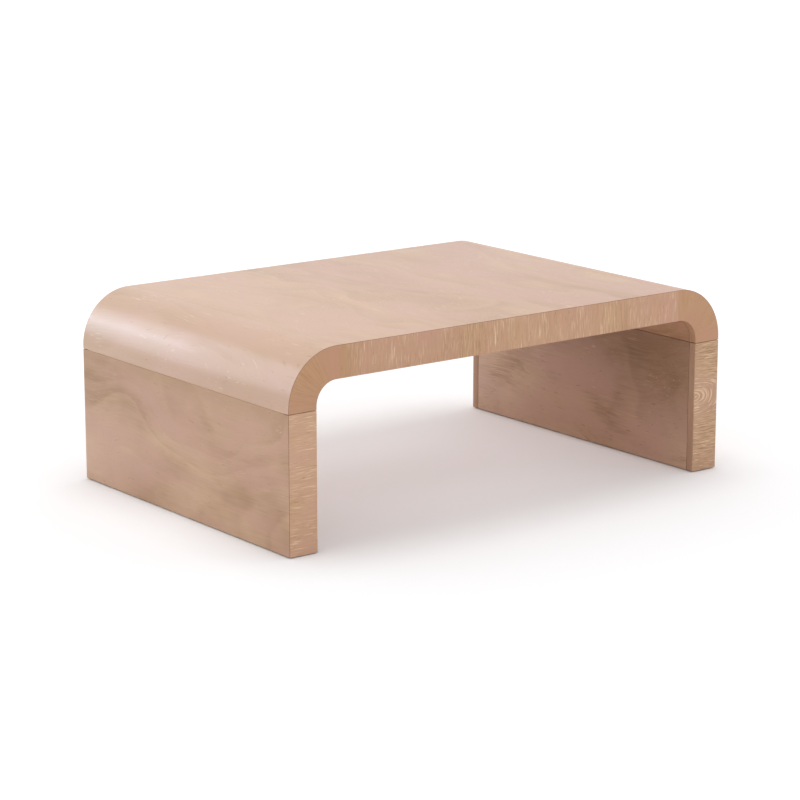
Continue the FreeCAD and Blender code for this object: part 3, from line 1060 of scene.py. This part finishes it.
@dataclass
class TableTop(FlatPanel):
    """The flat top between the bends."""

    def build(self) -> None:
        """Model the skins of the top."""
        veneer = self.sheet("top_face_veneer")
        self.ease_long_edges(veneer, 0.0, OUTER_ARRIS)
        finish_piece(veneer, "top_face_veneer", FACE_VENEER, Grain.DEPTHWISE)
        show_cut_edges(veneer, Grain.DEPTHWISE)
        underside = self.sheet("underside_panel")
        self.ease_all(underside, PANEL_EASING)
        finish_piece(underside, "underside_panel", LINING_VENEER, Grain.DEPTHWISE)
        for edge in Edge:
            facing_node = f"top_{edge.value}_edge_facing"
            facing = self.sheet(facing_node)
            self.ease_long_edges(facing, self.form.panel, INNER_ARRIS)
            finish_piece(facing, facing_node, TOP_FACING, Grain.UPRIGHT)
            strip_node = f"top_{edge.value}_strip"
            strip = self.sheet(strip_node)
            self.ease_all(strip, PANEL_EASING)
            finish_piece(strip, strip_node, EDGE_STRIP, Grain.LENGTHWISE)

    def dress(self) -> None:
        """Finish the board and the rails inside the top."""
        dress_node("top_board", Grain.LENGTHWISE)
        dress_node("top_cross_rails", Grain.DEPTHWISE)
        for side in Side:
            dress_node(f"top_{side.word}_end_rail", Grain.DEPTHWISE)


@dataclass
class Leg(FlatPanel):
    """One slab leg, below the open seam."""

    side: Side

    def build(self) -> None:
        """Model the skins of the leg."""
        name = f"{self.side.word}_leg"
        veneer = self.sheet(f"{name}_face_veneer")
        self.ease_long_edges(veneer, 0.0, OUTER_ARRIS)
        self.ease_ends(veneer)
        finish_piece(veneer, f"{name}_face_veneer", LEG_VENEER, Grain.DEPTHWISE)
        show_cut_edges(veneer, Grain.DEPTHWISE)
        lining = self.sheet(f"{name}_inner_panel")
        self.ease_all(lining, PANEL_EASING)
        finish_piece(lining, f"{name}_inner_panel", self.lining_finish(), Grain.DEPTHWISE)
        for edge in Edge:
            facing_node = f"{name}_{edge.value}_edge_facing"
            facing = self.sheet(facing_node)
            self.ease_long_edges(facing, self.form.panel, INNER_ARRIS)
            self.ease_ends(facing)
            finish_piece(facing, facing_node, self.facing_finish(edge), Grain.LENGTHWISE)
            strip_node = f"{name}_{edge.value}_strip"
            strip = self.sheet(strip_node)
            self.ease_all(strip, PANEL_EASING)
            finish_piece(strip, strip_node, EDGE_STRIP, Grain.UPRIGHT)

    def lining_finish(self) -> WoodFinish:
        """Pick the finish of the inner panel: the right leg's has painted shade that darkens it towards its
        upper front.
        """
        return PAINTED_SHADE_LINING if self.side is Side.RIGHT else LINING_VENEER

    def facing_finish(self, edge: Edge) -> WoodFinish:
        """Pick the finish of an edge facing: two of them differ from the rest, one lighter with painted light
        and one with a knot.
        """
        chosen = {(Side.LEFT, Edge.FRONT): PAINTED_LIGHT_FACING, (Side.RIGHT, Edge.FRONT): KNOT_FACING}
        return chosen.get((self.side, edge), EDGE_FACING)

    def ease_ends(self, piece: Piece) -> None:
        """Break the edges of a skin at the seam and at the foot.

        Args:
            piece: The skin.
        """
        heights = [vertex.co.z for vertex in piece.data.vertices]
        ends = (min(heights), max(heights))

        def test(start: Vector, end: Vector) -> bool:
            """Pick the outer edges of both ends."""
            level = any(abs(start.z - z) < TOUCHING and abs(end.z - z) < TOUCHING for z in ends)
            outside = all(self.form.on_wall(p) or self.form.on_skin(p) for p in (start, end))
            return level and outside

        ease_edges(piece, test, SEAM_EASING, EASING_SEGMENTS)

    def dress(self) -> None:
        """Finish the board, rails and posts inside the leg."""
        name = f"{self.side.word}_leg"
        dress_node(f"{name}_board", Grain.DEPTHWISE)
        dress_node(f"{name}_top_rail", Grain.DEPTHWISE)
        dress_node(f"{name}_foot_rail", Grain.DEPTHWISE)
        dress_node(f"{name}_posts", Grain.UPRIGHT)


@dataclass
class Bend:
    """One rounded bend between the top and a leg."""

    form: TableForm
    side: Side

    def sweep(self, node: str, outer: float, inner: float) -> Piece:
        """Sweep a layer of the bend from the seam, round the corner to the top.

        Args:
            node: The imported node, which gives the span in depth.
            outer: The outer radius of the layer.
            inner: Its inner radius.

        Returns:
            The swept piece.
        """
        form, sign = self.form, self.side.value
        low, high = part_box(node)
        deselect_all()
        centre = (sign * (form.centre_x + (outer + inner) / 2), (low.y + high.y) / 2, form.seam)
        bpy.ops.mesh.primitive_plane_add(size=1, location=centre)
        piece = bpy.context.active_object
        piece.name = f"{node}_finished"
        piece.data.name = piece.name
        piece.scale = (outer - inner, high.y - low.y, 1)
        bpy.ops.object.transform_apply(location=True, rotation=True, scale=True)
        with shaping(piece):
            bpy.ops.mesh.select_all(action="SELECT")
            bpy.ops.mesh.extrude_region_move(TRANSFORM_OT_translate={"value": (0, 0, BEND_LEAD)})
            bpy.ops.mesh.spin(
                steps=BEND_STEPS,
                angle=QUARTER_TURN,
                center=(sign * form.centre_x, 0, form.centre_z),
                axis=(0, sign, 0),
            )
            bpy.ops.mesh.extrude_region_move(TRANSFORM_OT_translate={"value": (-sign * BEND_LEAD, 0, 0)})
            bpy.ops.mesh.select_all(action="SELECT")
            bpy.ops.mesh.remove_doubles(threshold=TOUCHING)
            bpy.ops.mesh.normals_make_consistent(inside=False)
        return piece

    def ease(self, piece: Piece, depth: float, radius: float) -> None:
        """Round the long curved edges at a depth below the skin, then break the edges at the seam.

        Args:
            piece: The swept piece.
            depth: The depth of the edges that are meant.
            radius: Their rounding.
        """
        form = self.form

        def long_edge(start: Vector, end: Vector) -> bool:
            """Pick the edges that run round the bend on the front and rear faces."""
            return all(form.on_wall(p) and form.on_skin(p, depth) for p in (start, end))

        def seam_edge(start: Vector, end: Vector) -> bool:
            """Pick the outer edges that lie on the seam."""
            level = all(abs(p.z - form.seam) < TOUCHING for p in (start, end))
            return level and all(form.on_wall(p) or form.on_skin(p) for p in (start, end))

        ease_edges(piece, long_edge, radius, ARRIS_SEGMENTS)
        ease_edges(piece, seam_edge, SEAM_EASING, EASING_SEGMENTS)

    def lay_grain(self, piece: Piece, fibres_across: bool) -> None:
        """Write the way of the fibres into a piece, so that its figure follows the bend.

        Args:
            piece: The swept piece.
            fibres_across: Whether the fibres run from skin to lining, or else along the bend.
        """
        sign = self.side.value
        values: list[float] = []
        for vertex in piece.data.vertices:
            way, radius = self.form.round_bend(vertex.co)
            pair = (way, radius) if fibres_across else (radius, way)
            values += (pair[0] + sign, pair[1], vertex.co.y)
        attribute = piece.data.attributes.new(Grain.FOLLOWING.value, "FLOAT_VECTOR", "POINT")
        attribute.data.foreach_set("vector", values)

    def build(self) -> None:
        """Model the skins of the bend."""
        form = self.form
        name = f"{self.side.word}_bend"
        core = form.radius - form.veneer
        inside = form.radius - form.panel
        veneer = self.sweep(f"{name}_face_veneer", form.radius, core)
        self.ease(veneer, 0.0, OUTER_ARRIS)
        finish_piece(veneer, f"{name}_face_veneer", FACE_VENEER, Grain.DEPTHWISE)
        show_cut_edges(veneer, Grain.DEPTHWISE)
        lining = self.sweep(f"{name}_inner_liner", inside + form.lining, inside)
        finish_piece(lining, f"{name}_inner_liner", PAINTED_SHADE_BEND_LINING, Grain.DEPTHWISE)
        for edge in Edge:
            facing_node = f"{name}_{edge.value}_edge_facing"
            facing = self.sweep(facing_node, core, inside)
            self.ease(facing, form.panel, INNER_ARRIS)
            self.lay_grain(facing, fibres_across=True)
            finish_piece(facing, facing_node, BEND_FACING, Grain.FOLLOWING)
            cheek_node = f"{name}_{edge.value}_cheek"
            cheek = self.sweep(cheek_node, core, inside)
            self.lay_grain(cheek, fibres_across=False)
            finish_piece(cheek, cheek_node, PAINTED_SHADE_BEND_LINING, Grain.FOLLOWING)

    def dress(self) -> None:
        """Finish the liner, ribs and rails inside the bend."""
        name = f"{self.side.word}_bend"
        for piece in ("outer_liner", "ribs", "top_rail", "seam_rail"):
            dress_node(f"{name}_{piece}", Grain.DEPTHWISE)


@dataclass
class Hardware:
    """The fixings that join the panels, and the glides under the legs."""

    upright: tuple[str, ...] = (
        "leg_bolts",
        "leg_bolt_washers",
        "threaded_inserts",
        "leg_dowels",
        "foot_glides",
    )
    lying: tuple[str, ...] = ("top_joint_dowels",)

    def dress(self) -> None:
        """Finish every kind of fixing."""
        for node in self.upright:
            dress_node(node, Grain.UPRIGHT)
        for node in self.lying:
            dress_node(node, Grain.LENGTHWISE)


STRIP_TINT = (0.6, 0.78, 1.0)


@dataclass(frozen=True)
class Lamp:
    """A soft lamp that points at the table."""

    name: str
    place: Triple
    aim: Triple
    size: Pair
    power: float
    colour: Triple = (1.0, 1.0, 1.0)
    only_gloss: bool = False

    def hang(self) -> None:
        """Hang the lamp in its place, turned to the point that it is aimed at."""
        towards = Vector(self.aim) - Vector(self.place)
        turn = towards.to_track_quat("-Z", "Y").to_euler()
        bpy.ops.object.light_add(type="AREA", location=self.place, rotation=turn)
        lamp = bpy.context.active_object
        lamp.name = self.name
        lamp.visible_camera = False
        lamp.visible_diffuse = not self.only_gloss
        lamp.data.shape = "ELLIPSE"
        lamp.data.size, lamp.data.size_y = self.size
        lamp.data.energy = self.power
        lamp.data.color = self.colour


@dataclass
class Studio:
    """The floor, the light and the camera."""

    floor_size: float = 60.0
    floor_white: float = 0.9
    under_lift: float = 0.31
    near_lift: float = 0.18
    far_lift: float = 0.32
    lift_tint: tuple[float, float, float, float] = (1.0, 1.0, 1.06, 1.0)
    lift_shape: Triple = (0.55, 1.0, 1.0)
    under_reach: Pair = (0.15, 0.5)
    near_reach: Pair = (0.8, 1.6)
    contact_reach: float = 0.03
    contact_samples: int = 4
    sky: float = 0.84
    sky_tilt: float = 0.25
    lamps: tuple[Lamp, ...] = (
        Lamp("overhead_lamp", place=(0.0, 0.1, 3.0), aim=(0.0, 0.1, 0.0), size=(1.4, 1.4), power=16.0),
        Lamp(
            "rear_strip",
            place=(-0.639, 0.452, 0.422),
            aim=(-0.584, 0.452, 0.371),
            size=(0.84, 0.044),
            power=0.245,
            colour=STRIP_TINT,
            only_gloss=True,
        ),
        Lamp(
            "long_strip",
            place=(-0.6108, 0.141, 0.3908),
            aim=(-0.584, 0.141, 0.371),
            size=(1.48, 0.116),
            power=0.8,
            colour=STRIP_TINT,
            only_gloss=True,
        ),
    )
    camera_place: Triple = (-3.6531, -4.752, 1.6017)
    camera_yaw: float = 37.483
    camera_pitch: float = -13.413
    lens: float = 121.78
    sensor: float = 36.0

    def build(self) -> None:
        """Set up the studio."""
        self.build_floor()
        self.build_sky()
        for lamp in self.lamps:
            lamp.hang()
        self.place_camera()
        bpy.context.scene.view_settings.view_transform = "Standard"

    def build_floor(self) -> None:
        """Lay the pale floor, which keeps the shadow and lets a view from below through."""
        deselect_all()
        bpy.ops.mesh.primitive_plane_add(size=self.floor_size, location=(0, 0, 0))
        floor = bpy.context.active_object
        floor.name = "studio_floor"
        material = bpy.data.materials.new("studio_floor")
        material.use_nodes = True
        board = NodeBoard(material.node_tree)
        board.tree.nodes.remove(board.tree.nodes["Principled BSDF"])
        output = board.tree.nodes["Material Output"]
        white = (self.floor_white,) * 3 + (1.0,)
        matt = board.add("BsdfDiffuse", white)
        lift = board.add("Emission", self.lift_tint)
        board.feed(lift.inputs["Strength"], board.math("MULTIPLY", self.shown(board), self.lift(board)))
        lit = board.add("AddShader", matt.outputs[0], lift.outputs[0])
        clear = board.add("BsdfTransparent")
        below = board.add("NewGeometry").outputs["Backfacing"]
        seen = board.add("MixShader", below, lit.outputs[0], clear.outputs[0])
        board.feed(output.inputs["Surface"], seen.outputs[0])
        floor.data.materials.append(material)

    def shown(self, board: NodeBoard) -> Socket:
        """Tell the rays that show the background, straight or in gloss and glass, from those that light it.

        Args:
            board: The board to wire on.

        Returns:
            1 for a ray that shows the background, and 0 for any other.
        """
        path = board.add("LightPath")
        mirrored = board.math("MAXIMUM", path.outputs["Is Glossy Ray"], path.outputs["Is Transmission Ray"])
        return board.math("MAXIMUM", path.outputs["Is Camera Ray"], mirrored)

    def lift(self, board: NodeBoard) -> Socket:
        """Brighten the floor under the table and far from it, and not where a foot stands on it.

        Args:
            board: The floor material's board.

        Returns:
            The glow at a point.
        """
        place = board.vector("MULTIPLY", board.add("TexCoord").outputs["Object"], self.lift_shape)
        reach = board.add("VectorMath", place, operation="LENGTH").outputs["Value"]
        near = board.spread(reach, *self.under_reach)
        far = board.spread(reach, *self.near_reach)
        glow = board.math("MULTIPLY_ADD", near, self.near_lift - self.under_lift, self.under_lift)
        glow = board.math("MULTIPLY_ADD", far, self.far_lift - self.near_lift, glow)
        contact = board.add("AmbientOcclusion", samples=self.contact_samples)
        board.feed(contact.inputs["Distance"], self.contact_reach)
        return board.math("MULTIPLY", glow, contact.outputs["AO"])

    def build_sky(self) -> None:
        """Surround the table with even light, which looks white by itself and in reflections."""
        world = bpy.data.worlds.new("studio_sky")
        world.use_nodes = True
        bpy.context.scene.world = world
        board = NodeBoard(world.node_tree)
        rearward = board.add("SeparateXYZ", board.add("TexCoord").outputs["Generated"]).outputs["Y"]
        light = board.math("MULTIPLY_ADD", rearward, self.sky * self.sky_tilt, self.sky)
        whiter = board.math("SUBTRACT", 1.0, light)
        strength = board.math("MULTIPLY_ADD", self.shown(board), whiter, light)
        background = board.tree.nodes["Background"]
        board.feed(background.inputs["Color"], (1.0, 1.0, 1.0, 1.0))
        board.feed(background.inputs["Strength"], strength)

    def place_camera(self) -> None:
        """Set the camera at the viewing angle."""
        turn = (QUARTER_TURN + math.radians(self.camera_pitch), 0.0, -math.radians(self.camera_yaw))
        bpy.ops.object.camera_add(location=self.camera_place, rotation=turn)
        camera = bpy.context.active_object
        camera.name = "studio_camera"
        camera.data.lens = self.lens
        camera.data.sensor_width = self.sensor
        bpy.context.scene.camera = camera


def main() -> None:
    """Build the table, dress it and set up the studio."""
    logging.basicConfig(level=logging.INFO, format="%(name)s: %(message)s")
    form = TableForm.from_frame()
    top = TableTop(form)
    top.build()
    top.dress()
    for side in Side:
        for part in (Bend(form, side), Leg(form, side)):
            part.build()
            part.dress()
    Hardware().dress()
    Studio().build()


if __name__ == "__main__":
    main()
